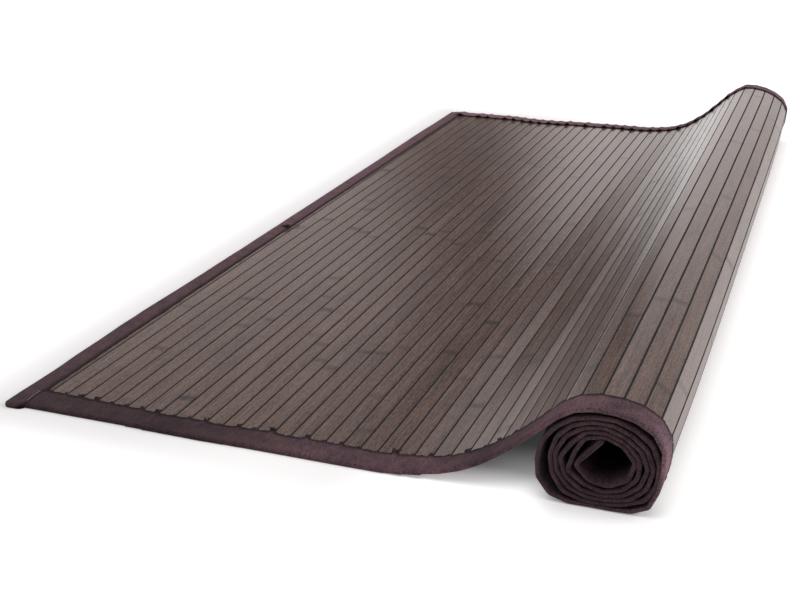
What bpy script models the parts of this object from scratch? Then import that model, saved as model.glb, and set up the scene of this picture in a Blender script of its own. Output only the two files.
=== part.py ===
"""Bamboo rug, half rolled up.

A field of thin bamboo slats, edge to edge, with a cloth tape folded round all
four edges.  The rug lies flat at its left end, lifts off the floor, goes over
the top of the roll and winds inward six times round a hollow core.

Metres, +Z up.  +X runs across the slats from the flat end to the roll,
+Y runs along the slats, and the origin is the middle of the base.
"""
import math

import bmesh
import bpy
from mathutils import Vector

# ------------------------------------------------------------------ sizes
PITCH = 0.01875            # width of one slat, joint to joint
MAT_THICK = 0.0018         # thickness of the slats
TAPE_THICK = 0.0010        # thickness of the edging cloth
GAP = 0.0003               # clearance between pieces
FIELD_LENGTH = 78.2 * PITCH    # length of slat left bare between the long tapes
TAPE_LONG = 0.0315         # width of the tape on the slat ends
TAPE_SHORT = 0.0268        # width of the tape on the flat end and the inner end
FLAT_END_BARE = 0.0060     # bare slat between the flat end's tape and joint 0
CORNER_R = 0.0060          # rounding of the flat end's corners
FLAT_SLATS = 20            # slats lying flat between joint 0 and the lift
HALF_SLAT = PITCH / 2.0    # step along the wound part

HALF_MAT = MAT_THICK / 2.0
TAPE_MID = HALF_MAT + GAP + TAPE_THICK / 2.0     # middle of the cloth, from the middle of the mat
MID_HEIGHT = HALF_MAT + GAP + TAPE_THICK         # middle of the mat, above the floor
EDGE_IN = TAPE_THICK + GAP                       # the mat's edge, from the tape's outer edge
RUG_WIDTH = FIELD_LENGTH + 2.0 * TAPE_LONG       # near edge to far edge

# Slope in degrees of each slat from the start of the lift to the right side
# of the roll, at the near edge and at the far edge of the rug.
LIFT_SLATS = (
    # (near_slope, far_slope)
    (0.0, 3.2),
    (3.3, 5.6),
    (7.2, 9.3),
    (11.7, 15.6),
    (18.6, 25.0),
    (27.4, 33.0),
    (33.6, 37.0),
    (37.2, 42.5),
    (40.3, 45.5),
    (42.9, 45.6),
    (43.5, 38.5),
    (32.1, 29.5),
    (10.3, 0.8),
    (-2.0, -11.6),
    (-13.2, -22.1),
    (-30.7, -35.5),
    (-59.4, -61.6),
)

# Centre of the roll at each edge of the rug: distance from joint 0, height.
ROLL_CENTRE = {
    "near": (0.5981, 0.0490),
    "far": (0.5897, 0.0510),
}

# Distance of each turn from the centre of the roll, in millimetres, in the
# eight directions met one after another on the way inward.
DIRECTIONS = ("top", "upper_right", "right", "lower_right", "bottom", "lower_left", "left", "upper_left")
ROLL_TURNS = (
    # (top, upper_right, right, lower_right, bottom, lower_left, left, upper_left)
    (None, None, 57.0, 57.6, 48.0, 58.6, 56.2, 46.6),
    (41.3, 43.8, 49.8, 49.7, 41.6, 48.2, 45.6, 40.4),
    (36.2, 38.6, 44.5, 44.0, 36.3, 42.5, 40.4, 34.9),
    (31.1, 33.4, 39.2, 38.4, 31.0, 36.9, 35.0, 29.4),
    (26.0, 28.2, 33.9, 32.9, 25.7, 30.6, 27.6, 23.8),
    (20.8, 22.9, 28.3, 27.0, 20.2, 23.2, None, None),
)
CORE_BEND = 250.0                 # the last bend comes after this many degrees of the last turn
CORE_BEND_R = 22.8                # and at this distance from the centre, in millimetres
INNER_SLOPE = 49.0                # the free end runs straight, at this slope in degrees
INNER_LENGTH = 0.0315             # from the last bend to the free edge

# colours of the stained bamboo and of the edging cloth
BAMBOO_COLOUR = (0.125, 0.098, 0.082, 1.0)
CLOTH_COLOUR = (0.060, 0.040, 0.043, 1.0)


# ------------------------------------------------------------------ section
def lift_joints(column):
    """Joints of the flat slats and of the lifted slats, as (x, z) on the mat's middle."""
    points = [(PITCH * k, MID_HEIGHT) for k in range(FLAT_SLATS + 1)]
    for row in LIFT_SLATS:
        slope = math.radians(row[column])
        x, z = points[-1]
        points.append((x + PITCH * math.cos(slope), z + PITCH * math.sin(slope)))
    return points


def polar_knots(centre, lifted):
    """Knots (angle turned, distance): the last lifted joints, then the turns of the roll."""
    knots = []
    for x, z in lifted[-4:]:
        dx, dz = x - centre[0], z - centre[1]
        knots.append((math.degrees(math.atan2(dx, dz)), math.hypot(dx, dz)))
    for turn, row in enumerate(ROLL_TURNS):
        for step, name in enumerate(DIRECTIONS):
            value = row[step]
            if value is not None:
                knots.append((360.0 * turn + 45.0 * step, value / 1000.0))
    for further in (0.0, 45.0):
        knots.append((360.0 * (len(ROLL_TURNS) - 1) + CORE_BEND + further, CORE_BEND_R / 1000.0))
    return knots


def distance_at(knots, angle):
    """Smooth curve through the knots (cubic, slope from the neighbours)."""
    last = len(knots) - 1
    i = 0
    while i < last - 1 and knots[i + 1][0] < angle:
        i += 1

    def slope(j):
        a, b = max(j - 1, 0), min(j + 1, last)
        return (knots[b][1] - knots[a][1]) / (knots[b][0] - knots[a][0])

    (a0, r0), (a1, r1) = knots[i], knots[i + 1]
    h = a1 - a0
    t = (angle - a0) / h
    return ((2 * t ** 3 - 3 * t ** 2 + 1) * r0 + (t ** 3 - 2 * t ** 2 + t) * h * slope(i)
            + (3 * t ** 2 - 2 * t ** 3) * r1 + (t ** 3 - t ** 2) * h * slope(i + 1))


def wound_point(centre, knots, angle):
    """A point of the roll; it does not sink below the floor, which leaves the flat spot."""
    r = distance_at(knots, angle)
    a = math.radians(angle)
    return (centre[0] + r * math.sin(a), max(centre[1] + r * math.cos(a), MID_HEIGHT))


def next_along(centre, knots, angle, here, step):
    """Angle of the next point at a distance of step from here."""
    low = angle
    high = angle + 1.0
    while math.dist(wound_point(centre, knots, high), here) < step:
        high += 1.0
    for _ in range(40):
        mid = 0.5 * (low + high)
        if math.dist(wound_point(centre, knots, mid), here) < step:
            low = mid
        else:
            high = mid
    return high


def section(edge, steps=None):
    """Middle line of the mat at one edge of the rug, from joint 0 to the last bend."""
    centre = ROLL_CENTRE[edge]
    points = lift_joints(0 if edge == "near" else 1)
    knots = polar_knots(centre, points)
    angle = knots[3][0]
    end = knots[-2][0]
    count = 0
    while count != steps and (steps is not None or angle < end - 20.0):
        angle = next_along(centre, knots, angle, points[-1], HALF_SLAT)
        points.append(wound_point(centre, knots, angle))
        count += 1
    slope = math.radians(INNER_SLOPE)
    tip = (points[-1][0] + INNER_LENGTH * math.cos(slope), points[-1][1] + INNER_LENGTH * math.sin(slope))
    return points, tip, count


NEAR, NEAR_TIP, WOUND_STEPS = section("near")
FAR, FAR_TIP, _ = section("far", WOUND_STEPS)


def along_tip(points, tip, from_tip):
    """Point on the straight inner end, a given distance short of the tip."""
    x0, z0 = points[-1]
    length = math.dist(points[-1], tip)
    t = 1.0 - from_tip / length
    return (x0 + (tip[0] - x0) * t, z0 + (tip[1] - z0) * t)


def offset_line(points, distance):
    """The line moved sideways by a distance (up on the flat part), mitred at each bend."""
    out = []
    n = len(points)
    for i in range(n):
        normals = []
        for a, b in ((i - 1, i), (i, i + 1)):
            if a >= 0 and b < n:
                dx, dz = points[b][0] - points[a][0], points[b][1] - points[a][1]
                length = math.hypot(dx, dz)
                normals.append((-dz / length, dx / length))
        nx = sum(v[0] for v in normals) / len(normals)
        nz = sum(v[1] for v in normals) / len(normals)
        scale = distance / (nx * nx + nz * nz)
        out.append((points[i][0] + nx * scale, points[i][1] + nz * scale))
    return out


X_OUTER = -FLAT_END_BARE - TAPE_SHORT                      # outer edge of the flat end
X_RIGHT = max(x for x, z in offset_line(NEAR, MID_HEIGHT))  # right side of the roll
X_CENTRE = 0.5 * (X_OUTER + X_RIGHT)


def between(near, far, y):
    """Section at a distance y from the near edge: each slat is straight from edge to edge."""
    t = y / RUG_WIDTH
    return [(a[0] + (b[0] - a[0]) * t, a[1] + (b[1] - a[1]) * t) for a, b in zip(near, far)]


# ------------------------------------------------------------------ scene
for old in list(bpy.data.objects):
    bpy.data.objects.remove(old, do_unlink=True)

rug = bpy.data.collections.new("bamboo_rug")
bpy.context.scene.collection.children.link(rug)


def make_material(name, colour, roughness):
    material = bpy.data.materials.new(name)
    material.use_nodes = True
    shader = material.node_tree.nodes["Principled BSDF"]
    shader.inputs["Base Color"].default_value = colour
    shader.inputs["Roughness"].default_value = roughness
    shader.inputs["Metallic"].default_value = 0.0
    return material


def to_world(x, y, z):
    return Vector((x - X_CENTRE, y - RUG_WIDTH / 2.0, z))


def thick_piece(name, build_faces, thickness, material):
    """An open surface of the piece's middle, given its thickness by Solidify."""
    mesh = bpy.data.meshes.new(name)
    bm = bmesh.new()
    build_faces(bm)
    bmesh.ops.remove_doubles(bm, verts=bm.verts, dist=0.00001)
    bmesh.ops.recalc_face_normals(bm, faces=bm.faces)
    bm.to_mesh(mesh)
    bm.free()
    piece = bpy.data.objects.new(name, mesh)
    rug.objects.link(piece)
    piece.data.materials.append(material)
    skin = piece.modifiers.new("thickness", "SOLIDIFY")
    skin.thickness = thickness
    skin.offset = 0.0
    skin.use_even_offset = True
    skin.use_quality_normals = True
    return piece


def strip_faces(bm, rows):
    """Quads between successive rows of points; every row has the same number of points."""
    verts = [[bm.verts.new(p) for p in row] for row in rows]
    for a, b in zip(verts, verts[1:]):
        for i in range(len(a) - 1):
            bm.faces.new((a[i], a[i + 1], b[i + 1], b[i]))


def rounded_edge(inset, x_inner, steps=4):
    """Plan of the flat end, from its near inner corner round to its far inner corner."""
    x_out = X_OUTER + inset
    y_near, y_far = inset, RUG_WIDTH - inset
    r = CORNER_R - inset
    plan = [(x_inner, y_near)]
    for i in range(steps + 1):
        a = math.radians(90.0 * i / steps)
        plan.append((x_out + r - r * math.sin(a), y_near + r - r * math.cos(a)))
    for i in range(steps + 1):
        a = math.radians(90.0 * i / steps)
        plan.append((x_out + r - r * math.cos(a), y_far - r + r * math.sin(a)))
    plan.append((x_inner, y_far))
    return plan


# ------------------------------------------------------------------ slats
def mat_faces(bm):
    """Middle of the mat: rounded flat end, flat slats, lift, roll and straight inner end."""
    y0, y1 = EDGE_IN, RUG_WIDTH - EDGE_IN
    plan = rounded_edge(EDGE_IN, 0.0)
    bm.faces.new([bm.verts.new(to_world(x, y, MID_HEIGHT)) for x, y in plan])
    near = NEAR + [along_tip(NEAR, NEAR_TIP, EDGE_IN)]
    far = FAR + [along_tip(FAR, FAR_TIP, EDGE_IN)]
    a, b = between(near, far, y0), between(near, far, y1)
    strip_faces(bm, [[to_world(p[0], y0, p[1]), to_world(q[0], y1, q[1])] for p, q in zip(a, b)])


thick_piece("slat_mat", mat_faces, MAT_THICK, make_material("stained_bamboo", BAMBOO_COLOUR, 0.42))


# ------------------------------------------------------------------ tapes
def long_tape_faces(y_fold, y_inner):
    """A tape folded over the slat ends: top leaf, fold and under leaf along the whole section."""
    def build(bm):
        start = (-FLAT_END_BARE + GAP, MID_HEIGHT)
        near = [start] + NEAR + [along_tip(NEAR, NEAR_TIP, TAPE_SHORT + GAP)]
        far = [start] + FAR + [along_tip(FAR, FAR_TIP, TAPE_SHORT + GAP)]
        lines = {}
        for y in (y_fold, y_inner):
            line = between(near, far, y)
            lines[y] = (offset_line(line, TAPE_MID), offset_line(line, -TAPE_MID))
        rows = []
        for i in range(len(near)):
            rows.append([to_world(lines[y_inner][0][i][0], y_inner, lines[y_inner][0][i][1]),
                         to_world(lines[y_fold][0][i][0], y_fold, lines[y_fold][0][i][1]),
                         to_world(lines[y_fold][1][i][0], y_fold, lines[y_fold][1][i][1]),
                         to_world(lines[y_inner][1][i][0], y_inner, lines[y_inner][1][i][1])])
        strip_faces(bm, rows)
    return build


HALF_TAPE = TAPE_THICK / 2.0
near_cloth = make_material("near_tape_cloth", CLOTH_COLOUR, 0.92)
thick_piece("binding_near", long_tape_faces(HALF_TAPE, TAPE_LONG), TAPE_THICK, near_cloth)
far_cloth = make_material("far_tape_cloth", CLOTH_COLOUR, 0.92)
thick_piece("binding_far", long_tape_faces(RUG_WIDTH - HALF_TAPE, RUG_WIDTH - TAPE_LONG), TAPE_THICK, far_cloth)


def flat_end_faces(bm):
    """Tape round the flat end and both its corners, open towards the slats."""
    plan = rounded_edge(HALF_TAPE, -FLAT_END_BARE)
    top = [bm.verts.new(to_world(x, y, MID_HEIGHT + TAPE_MID)) for x, y in plan]
    low = [bm.verts.new(to_world(x, y, MID_HEIGHT - TAPE_MID)) for x, y in plan]
    bm.faces.new(top)
    bm.faces.new(low)
    for i in range(len(plan) - 1):
        bm.faces.new((top[i], top[i + 1], low[i + 1], low[i]))


end_cloth = make_material("flat_end_tape_cloth", CLOTH_COLOUR, 0.92)
thick_piece("binding_flat_end", flat_end_faces, TAPE_THICK, end_cloth)


def inner_end_faces(bm):
    """Tape round the free end in the core of the roll, closed at both its ends."""
    corners = []
    for side in (1.0, -1.0):
        rows = []
        for y in (HALF_TAPE, RUG_WIDTH - HALF_TAPE):
            ends = []
            for points, tip in ((NEAR, NEAR_TIP), (FAR, FAR_TIP)):
                line = [along_tip(points, tip, TAPE_SHORT), along_tip(points, tip, HALF_TAPE)]
                ends.append(offset_line(line, side * TAPE_MID))
            inner, outer = between(ends[0], ends[1], y)
            rows.append((inner, outer, y))
        (i0, o0, y0), (i1, o1, y1) = rows
        corners.append([bm.verts.new(to_world(i0[0], y0, i0[1])), bm.verts.new(to_world(o0[0], y0, o0[1])),
                        bm.verts.new(to_world(o1[0], y1, o1[1])), bm.verts.new(to_world(i1[0], y1, i1[1]))])
    top, low = corners
    bm.faces.new(top)
    bm.faces.new(low)
    for i in range(3):
        bm.faces.new((top[i], top[i + 1], low[i + 1], low[i]))


inner_cloth = make_material("inner_end_tape_cloth", CLOTH_COLOUR, 0.92)
thick_piece("binding_inner_end", inner_end_faces, TAPE_THICK, inner_cloth)
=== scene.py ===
"""Looks of the half-rolled bamboo rug: slats, edging cloth, stitches, studio and camera.

Metres, +Z up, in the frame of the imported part.  Lengths along the rug are
measured from joint 0, lengths along the slats from the near edge.
"""
import math

import bpy
import numpy as np
from mathutils import Matrix, Vector

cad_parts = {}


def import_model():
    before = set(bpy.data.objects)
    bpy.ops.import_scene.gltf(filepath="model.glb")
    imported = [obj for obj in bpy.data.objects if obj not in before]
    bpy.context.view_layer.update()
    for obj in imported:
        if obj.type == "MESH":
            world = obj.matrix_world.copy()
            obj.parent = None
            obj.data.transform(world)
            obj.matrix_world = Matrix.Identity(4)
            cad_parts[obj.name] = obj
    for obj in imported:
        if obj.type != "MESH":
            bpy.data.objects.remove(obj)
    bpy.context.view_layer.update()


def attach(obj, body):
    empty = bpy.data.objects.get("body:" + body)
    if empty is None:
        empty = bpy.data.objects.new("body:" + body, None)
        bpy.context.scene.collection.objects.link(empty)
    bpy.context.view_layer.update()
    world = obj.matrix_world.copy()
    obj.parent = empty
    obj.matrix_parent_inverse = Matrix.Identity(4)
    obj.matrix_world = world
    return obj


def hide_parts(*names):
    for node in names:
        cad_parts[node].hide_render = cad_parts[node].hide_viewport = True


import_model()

# ------------------------------------------------------------------ sizes
PITCH = 0.01875                 # one slat, joint to joint
SLAT_THICK = 0.0018
CLOTH = 0.0006                  # one layer of the edging cloth
MID_HEIGHT = 0.0022             # middle of the slats above the floor
TAPE_LONG = 0.0315              # edging on the slat ends, edge to fold
TAPE_SHORT = 0.0268             # edging on the flat end and the inner end
RUG_WIDTH = 78.2 * PITCH + 2 * TAPE_LONG
X_CENTRE = 0.31225              # joint 0 to the middle of the object
SLAT_IN = 0.0016                # slat ends, from the fold of the edging
HALF = SLAT_THICK / 2
SKIN = 0.00165                  # outside of the cloth, from the middle of the slats

FLAT_SLATS = 20
LIFT_SLATS = (
    # (near_slope, far_slope) of each slat after the flat ones, in degrees
    (0.0, 3.2), (3.3, 5.6), (7.2, 9.3), (11.7, 15.6), (18.6, 25.0), (27.4, 33.0),
    (33.6, 37.0), (37.2, 42.5), (40.3, 45.5), (42.9, 45.6), (43.5, 38.5), (32.1, 29.5),
    (10.3, 0.8), (-2.0, -11.6), (-13.2, -22.1), (-30.7, -35.5), (-59.4, -61.6),
)
ROLL_CENTRE = {"near": (0.5981, 0.0490), "far": (0.5897, 0.0510)}
WOUND_JOINTS = (
    # (degrees turned from the top, distance from the centre in mm), joint after joint inward
    (72.6, 57.92), (94.6, 55.4), (113.6, 56.6), (131.0, 59.6), (146.9, 54.99), (166.4, 48.15),
    (189.1, 47.03), (209.2, 54.9), (227.1, 61.0), (244.9, 62.09), (262.7, 58.15), (281.5, 54.56),
    (301.5, 49.18), (324.0, 44.98), (348.6, 41.4), (374.9, 42.2), (400.5, 44.8), (423.9, 49.9),
    (446.0, 51.8), (467.0, 53.2), (488.0, 53.0), (510.6, 46.35), (534.5, 43.36), (559.0, 45.07),
    (581.6, 49.29), (604.1, 48.02), (627.1, 46.12), (651.2, 43.84), (676.7, 40.53), (704.3, 37.33),
    (733.7, 36.77), (762.7, 38.8), (788.8, 43.8), (812.8, 47.2), (836.4, 47.4), (860.8, 44.6),
    (887.1, 39.57), (914.5, 39.88), (940.6, 42.51), (966.2, 42.88), (992.2, 41.22), (1019.4, 37.02),
    (1049.8, 33.8), (1082.8, 32.35), (1116.3, 32.94), (1146.6, 38.1), (1173.0, 42.3), (1199.3, 41.6),
    (1227.0, 38.3), (1257.0, 35.06), (1287.6, 36.56), (1316.2, 37.63), (1344.6, 37.19), (1374.3, 29.42),
    (1411.5, 29.44), (1450.0, 27.6), (1487.9, 29.9), (1520.8, 34.85), (1550.8, 36.17), (1582.0, 33.54),
    (1614.7, 31.27), (1649.4, 29.78), (1682.9, 33.14), (1716.0, 24.44), (1761.4, 24.66), (1805.8, 23.63),
    (1849.3, 25.62), (1885.6, 30.89), (1920.8, 29.96), (1960.7, 26.17), (2003.0, 23.99), (2050.7, 24.24),
)
FREE_END = (2161.8, 19.5)       # the tip of the free end
FAR_LEAD = 3.5                  # the far end of the roll is turned this much further
# sideways shift of the joints of the flat part, in slat widths
JOINT_SHIFT = (-0.10, 0.0, 0.03, 0.07, 0.06, 0.05, 0.07, 0.10, 0.12, 0.07, 0.08,
               0.09, 0.05, 0.04, 0.05, 0.06, 0.06, 0.05, 0.03, 0.03, 0.05, 0.03)

SLAT_LOOK = (
    # (tone, first node from the near tape, spacing of the nodes), both in slat widths
    (1.14, 15.0, 19.1), (1.05, 4.3, 32.5), (1.03, 8.0, 17.6), (0.99, 17.8, 22.9), (1.02, 18.0, 17.3),
    (1.01, 13.2, 21.5), (0.99, 14.8, 19.0), (1.00, 2.2, 21.6), (0.99, 20.2, 20.0), (0.95, 17.8, 19.5),
    (1.01, 13.5, 22.6), (1.04, 12.2, 25.0), (1.06, 9.8, 25.4), (1.00, 9.0, 25.4), (0.91, 12.0, 26.0),
    (1.03, 12.2, 23.9), (1.00, 13.5, 23.6), (1.04, 6.2, 25.5), (0.96, 2.0, 20.4), (0.95, 13.8, 23.8),
    (1.02, 19.5, 23.2), (0.99, 10.2, 21.8), (0.99, 13.8, 23.4), (1.01, 6.5, 26.8), (1.02, 13.5, 22.3),
    (1.05, 12.2, 20.9), (1.05, 1.9, 20.1), (0.99, 14.8, 17.1), (0.95, 11.2, 25.7), (0.98, 5.2, 19.9),
    (1.02, 16.2, 19.0), (1.05, 4.0, 25.2), (1.02, 11.2, 21.7), (0.98, 14.1, 20.2), (0.99, 14.5, 23.2),
    (0.97, 3.0, 21.7), (1.02, 5.0, 20.8),
)

rng = np.random.default_rng(20)


# ------------------------------------------------------------------ section
def section(edge):
    """Joints of the slats at one edge, as (x, z) on the middle of the mat, then the tip."""
    column = 0 if edge == "near" else 1
    points = [(PITCH * k, MID_HEIGHT) for k in range(FLAT_SLATS + 1)]
    for row in LIFT_SLATS:
        slope = math.radians(row[column])
        x, z = points[-1]
        points.append((x + PITCH * math.cos(slope), z + PITCH * math.sin(slope)))
    cx, cz = ROLL_CENTRE[edge]
    join_r = math.hypot(points[-1][0] - cx, points[-1][1] - cz)
    for i, (angle, mm) in enumerate(WOUND_JOINTS[1:] + (FREE_END,)):
        r, a = mm / 1000, math.radians(angle)
        if edge == "far":
            a += math.radians(FAR_LEAD)
            r += (join_r - WOUND_JOINTS[0][1] / 1000) * max(0.0, 1 - (i + 1) / 5)
        points.append((cx + r * math.sin(a), max(cz + r * math.cos(a), MID_HEIGHT)))
    points = np.array(points)
    for k, shift in enumerate(JOINT_SHIFT):
        points[k, 0] += shift * PITCH
    return points


NEAR, FAR = section("near"), section("far")
LAST = len(NEAR) - 1                      # index of the tip
# the free end holds one whole slat and part of another
tip_len = float(np.linalg.norm(NEAR[LAST] - NEAR[LAST - 1]))
SPLIT = PITCH / tip_len
NEAR = np.insert(NEAR, LAST, NEAR[LAST - 1] + (NEAR[LAST] - NEAR[LAST - 1]) * SPLIT, axis=0)
FAR = np.insert(FAR, LAST, FAR[LAST - 1] + (FAR[LAST] - FAR[LAST - 1]) * SPLIT, axis=0)
# the flat end: from the edge of the rug to joint 0 is one narrow slat, mostly under the edging
FLAT_EDGE = np.array([[-0.0315, MID_HEIGHT]])
NEAR = np.vstack([FLAT_EDGE, NEAR])
FAR = np.vstack([FLAT_EDGE, FAR])
COUNT = len(NEAR) - 1                     # slats; slat i lies between points i and i + 1
JOINT0 = 1                                # point of joint 0


def world(x, y, z):
    return np.stack(np.broadcast_arrays(x - X_CENTRE, y - RUG_WIDTH / 2, z), -1)


def far_wave(x):
    """How far the far edge of the rug swings in or out, by distance from joint 0."""
    xs = np.array([-2, 0, 5, 6, 7, 8, 9.5, 11, 12, 14, 17, 22, 30, 40]) * PITCH
    ys = np.array([0.1, 0.15, 0.12, 0, -0.3, -0.42, -0.45, -0.35, -0.1, 0, 0.1, 0.05, 0, 0]) * PITCH
    return np.interp(x, xs, ys)


def near_wave(x):
    """The same for the near edge; negative is outwards."""
    xs = np.array([-2, -0.5, 1.5, 5, 7, 8.5, 10.5, 12.5, 14.5, 20.5, 22, 22.8, 23.6, 28, 40]) * PITCH
    ys = np.array([-0.16, -0.15, -0.16, -0.16, -0.27, -0.29, -0.32, -0.25, -0.25, -0.27, -0.17, -0.05, 0, 0, 0]) * PITCH
    return np.interp(x, xs, ys)


# the outer turn stands off a little along the middle of the roll, away from the edging
BULGE_MM = {24: 0.4, 25: 0.8, 26: 1.1, 27: 1.4, 28: 1.6, 29: 1.8, 30: 1.9, 31: 1.9, 32: 1.9, 33: 2.1, 34: 2.8, 35: 3.6,
            36: 3.3, 37: 4.8, 38: 5.0, 39: 5.0, 40: 5.2, 41: 4.3, 42: 3.3, 43: 2.2, 44: 1.2, 45: 0.4}


def bulge(j, s):
    """Sideways shift of joint j (point number) at a share s of the way from the near edge."""
    k = j - JOINT0
    if k not in BULGE_MM:
        return 0.0 * s
    shape = 4 * s * (1 - s) if k < 34 else 1 - np.abs(2 * s - 1) ** 4
    return BULGE_MM[k] / 1000 * np.clip(shape, 0, 1)


def on_mat(i, t, y, h):
    """Points on slat i, a share t across it, at y along it and h off its middle (numpy arrays)."""
    s = (y / RUG_WIDTH)[..., None]
    a = NEAR[i] * (1 - s) + FAR[i] * s
    b = NEAR[i + 1] * (1 - s) + FAR[i + 1] * s
    a[..., 0] += bulge(i, s[..., 0])
    b[..., 0] += bulge(i + 1, s[..., 0])
    p = a + (b - a) * np.asarray(t)[..., None]
    d = (b - a) / np.linalg.norm(b - a, axis=-1, keepdims=True)
    n = np.stack([-d[..., 1], d[..., 0]], -1)
    p = p + n * np.asarray(h)[..., None]
    return p


# ------------------------------------------------------------------ meshes
def new_mesh(name, verts, faces, uvs=None, attrs=None, material=None, smooth=True, sharp=None):
    verts = np.array(verts, float)
    if name.startswith("edging_") or name.startswith("edge_"):
        # nothing sewn on goes below the floor; the tapes are 1 mm thick about these points
        verts[:, 2] = np.maximum(verts[:, 2], 0.0005 if name.startswith("edging_") else 0.00002)
    mesh = bpy.data.meshes.new(name)
    mesh.from_pydata(verts.tolist(), [], [list(map(int, f)) for f in faces])
    mesh.update()
    if uvs is not None:
        layer = mesh.uv_layers.new(name="UVMap")
        loops = np.zeros(len(mesh.loops), np.int32)
        mesh.loops.foreach_get("vertex_index", loops)
        layer.data.foreach_set("uv", np.asarray(uvs, np.float32)[loops].ravel())
    for key, values in (attrs or {}).items():
        made = mesh.attributes.new(key, "FLOAT", "POINT")
        made.data.foreach_set("value", np.asarray(values, np.float32))
    mesh.polygons.foreach_set("use_smooth", [smooth] * len(mesh.polygons))
    if sharp is not None:
        pairs = np.zeros(len(mesh.edges) * 2, np.int32)
        mesh.edges.foreach_get("vertices", pairs)
        pairs = pairs.reshape(-1, 2)
        flags = sharp(pairs[:, 0], pairs[:, 1])
        made = mesh.attributes.get("sharp_edge") or mesh.attributes.new("sharp_edge", "BOOLEAN", "EDGE")
        made.data.foreach_set("value", flags)
    piece = bpy.data.objects.new(name, mesh)
    bpy.context.scene.collection.objects.link(piece)
    if material:
        mesh.materials.append(material)
    return piece


def grid_faces(rows, cols, base=0, close_cols=False):
    r, c = np.meshgrid(np.arange(rows - 1), np.arange(cols if close_cols else cols - 1), indexing="ij")
    a = base + r * cols + c
    b = base + r * cols + (c + 1) % cols
    return np.stack([a, b, b + cols, a + cols], -1).reshape(-1, 4)


# ------------------------------------------------------------------ materials
def nodes_of(material):
    material.use_nodes = True
    tree = material.node_tree
    return tree, tree.nodes, tree.links, tree.nodes["Principled BSDF"]


class Maker:
    """Short ways to add nodes to one material."""

    def __init__(self, name):
        self.material = bpy.data.materials.new(name)
        self.tree, self.nodes, self.links, self.shader = nodes_of(self.material)

    def put(self, socket, value):
        if isinstance(value, bpy.types.NodeSocket):
            self.links.new(value, socket)
        else:
            size = len(socket.default_value) if hasattr(socket.default_value, "__len__") else 0
            socket.default_value = tuple(value)[:size] if size else value

    def math(self, kind, a, b=None, c=None, clamp=False):
        node = self.nodes.new("ShaderNodeMath")
        node.operation = kind
        node.use_clamp = clamp
        for socket, value in zip(node.inputs, (a, b, c)):
            if value is not None:
                self.put(socket, value)
        return node.outputs[0]

    def attribute(self, name):
        node = self.nodes.new("ShaderNodeAttribute")
        node.attribute_name = name
        return node.outputs["Fac"]

    def uv(self):
        node = self.nodes.new("ShaderNodeUVMap")
        node.uv_map = "UVMap"
        return node.outputs[0]

    def split(self, vector):
        node = self.nodes.new("ShaderNodeSeparateXYZ")
        self.put(node.inputs[0], vector)
        return node.outputs[0], node.outputs[1]

    def join(self, x, y, z=0.0):
        node = self.nodes.new("ShaderNodeCombineXYZ")
        for socket, value in zip(node.inputs, (x, y, z)):
            self.put(socket, value)
        return node.outputs[0]

    def noise(self, vector, scale=1.0, detail=2.0, rough=0.5):
        node = self.nodes.new("ShaderNodeTexNoise")
        self.put(node.inputs["Vector"], vector)
        node.inputs["Scale"].default_value = scale
        node.inputs["Detail"].default_value = detail
        node.inputs["Roughness"].default_value = rough
        return node.outputs["Fac"]

    def white(self, value):
        node = self.nodes.new("ShaderNodeTexWhiteNoise")
        node.noise_dimensions = "1D"
        self.put(node.inputs["W"], value)
        return node.outputs["Value"]

    def between(self, value, a, b, c, d):
        node = self.nodes.new("ShaderNodeMapRange")
        for socket, v in zip(node.inputs, (value, a, b, c, d)):
            self.put(socket, v)
        return node.outputs[0]

    def smooth(self, value, a, b, c, d):
        out = self.between(value, a, b, c, d)
        out.node.interpolation_type = "SMOOTHSTEP"
        return out

    def mix(self, share, a, b):
        node = self.nodes.new("ShaderNodeMix")
        node.data_type = "RGBA"
        self.put(node.inputs[0], share)
        self.put(node.inputs[6], a)
        self.put(node.inputs[7], b)
        return node.outputs[2]

    def scale(self, colour, value):
        node = self.nodes.new("ShaderNodeVectorMath")
        node.operation = "SCALE"
        self.put(node.inputs[0], colour)
        self.put(node.inputs["Scale"], value)
        return node.outputs[0]

    def bump(self, height, strength, distance, normal=None):
        node = self.nodes.new("ShaderNodeBump")
        self.put(node.inputs["Height"], height)
        node.inputs["Strength"].default_value = strength
        node.inputs["Distance"].default_value = distance
        if normal is not None:
            self.links.new(normal, node.inputs["Normal"])
        return node.outputs[0]


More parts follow.
